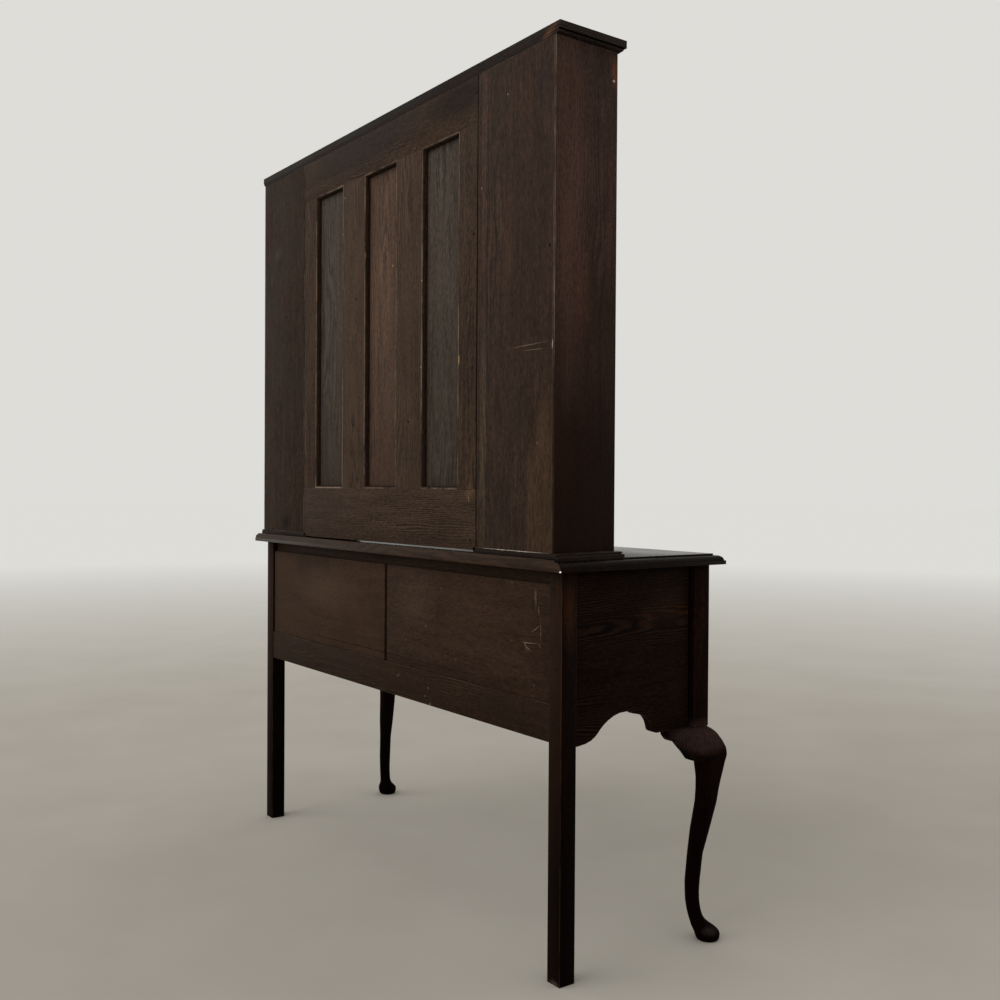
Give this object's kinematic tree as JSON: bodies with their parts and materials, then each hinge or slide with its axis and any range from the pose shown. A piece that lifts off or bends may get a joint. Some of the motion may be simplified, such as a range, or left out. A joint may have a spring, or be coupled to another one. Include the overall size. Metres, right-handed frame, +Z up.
{
  "type": "welsh dresser",
  "caption": "Oak dresser: table base with drawers on cabriole front legs, tall rack with shelves, arched-panel cupboards and a framed, panelled back.",
  "frame": {"origin": "on the floor, under the middle of the overall width and depth", "axes": "+Z up, the front with its drawers and doors faces -Y, +X is on the right of somebody who faces the front"},
  "size_m": [1.378, 0.452, 1.798],
  "materials": {
    "black_oak": "dark stained oak, worn satin polish",
    "brown_oak": "dark brown stained oak, worn satin polish",
    "frame_oak": "unpolished dark oak",
    "back_panel_oak": "unpolished dark board",
    "grey_panel": "dry grey-brown board",
    "red_panel": "dry red-brown board",
    "drawer_lining": "bare aged softwood",
    "brass": "aged brass"
  },
  "bodies": {
    "root": {"table_top": "black_oak", "back_leg_left": "black_oak", "back_leg_right": "black_oak", "front_leg_left": "black_oak", "front_leg_right": "black_oak", "side_panel_left": "black_oak", "side_panel_right": "black_oak", "back_top_rail": "black_oak", "back_bottom_rail": "black_oak", "back_muntin": "black_oak", "front_top_rail": "black_oak", "front_apron": "black_oak", "drawer_divider": "black_oak", "back_panel_left": "back_panel_oak", "back_panel_right": "back_panel_oak", "drawer_runner_left": "drawer_lining", "drawer_runner_right": "drawer_lining", "door_hinge_lower_left": "brass", "door_hinge_lower_right": "brass", "door_hinge_upper_left": "brass", "door_hinge_upper_right": "brass", "rack_side_left": "brown_oak", "rack_side_right": "brown_oak", "rack_partition_left": "brown_oak", "rack_partition_right": "brown_oak", "rack_shelf_upper": "brown_oak", "rack_shelf_lower": "brown_oak", "rack_frieze": "brown_oak", "back_board_left": "brown_oak", "back_board_right": "brown_oak", "cupboard_bottom_left": "brown_oak", "cupboard_bottom_right": "brown_oak", "rack_top": "brown_oak", "rack_back_top_rail": "frame_oak", "rack_back_bottom_rail": "frame_oak", "rack_back_stile_left": "frame_oak", "rack_back_stile_right": "frame_oak", "rack_back_muntin_left": "frame_oak", "rack_back_muntin_right": "frame_oak", "rack_back_panel_left": "grey_panel", "rack_back_panel_right": "grey_panel", "rack_back_panel_middle": "red_panel"},
    "drawer_left": {"drawer_front_left": "black_oak", "drawer_box_left": "drawer_lining", "handle_plate_left_inner": "brass", "handle_plate_left_outer": "brass"},
    "bail_left_inner": {"handle_bail_left_inner": "brass"},
    "bail_left_outer": {"handle_bail_left_outer": "brass"},
    "door_left": {"door_frame_left": "brown_oak", "door_panel_left": "brown_oak", "door_knob_left": "brass"},
    "drawer_right": {"drawer_front_right": "black_oak", "drawer_box_right": "drawer_lining", "handle_plate_right_inner": "brass", "handle_plate_right_outer": "brass"},
    "bail_right_inner": {"handle_bail_right_inner": "brass"},
    "bail_right_outer": {"handle_bail_right_outer": "brass"},
    "door_right": {"door_frame_right": "brown_oak", "door_panel_right": "brown_oak", "door_knob_right": "brass"}
  },
  "joints": [
    {"name": "drawer_left_slide", "type": "slide", "parent": "root", "child": "drawer_left", "axis": [0, -1, 0], "range_m": [0, 0.28]},
    {"name": "bail_left_inner_pivot", "type": "hinge", "parent": "drawer_left", "child": "bail_left_inner", "pos_m": [-0.163, -0.2033, 0.661], "axis": [-1, 0, 0], "range_deg": [0, 80]},
    {"name": "bail_left_outer_pivot", "type": "hinge", "parent": "drawer_left", "child": "bail_left_outer", "pos_m": [-0.463, -0.2033, 0.661], "axis": [-1, 0, 0], "range_deg": [0, 80]},
    {"name": "door_left_swing", "type": "hinge", "parent": "root", "child": "door_left", "pos_m": [-0.62725, 0.0592, 1.096], "axis": [0, 0, -1], "range_deg": [0, 110]},
    {"name": "drawer_right_slide", "type": "slide", "parent": "root", "child": "drawer_right", "axis": [0, -1, 0], "range_m": [0, 0.28]},
    {"name": "bail_right_inner_pivot", "type": "hinge", "parent": "drawer_right", "child": "bail_right_inner", "pos_m": [0.163, -0.2033, 0.661], "axis": [-1, 0, 0], "range_deg": [0, 80]},
    {"name": "bail_right_outer_pivot", "type": "hinge", "parent": "drawer_right", "child": "bail_right_outer", "pos_m": [0.463, -0.2033, 0.661], "axis": [-1, 0, 0], "range_deg": [0, 80]},
    {"name": "door_right_swing", "type": "hinge", "parent": "root", "child": "door_right", "pos_m": [0.62725, 0.0592, 1.096], "axis": [0, 0, 1], "range_deg": [0, 110]}
  ]
}
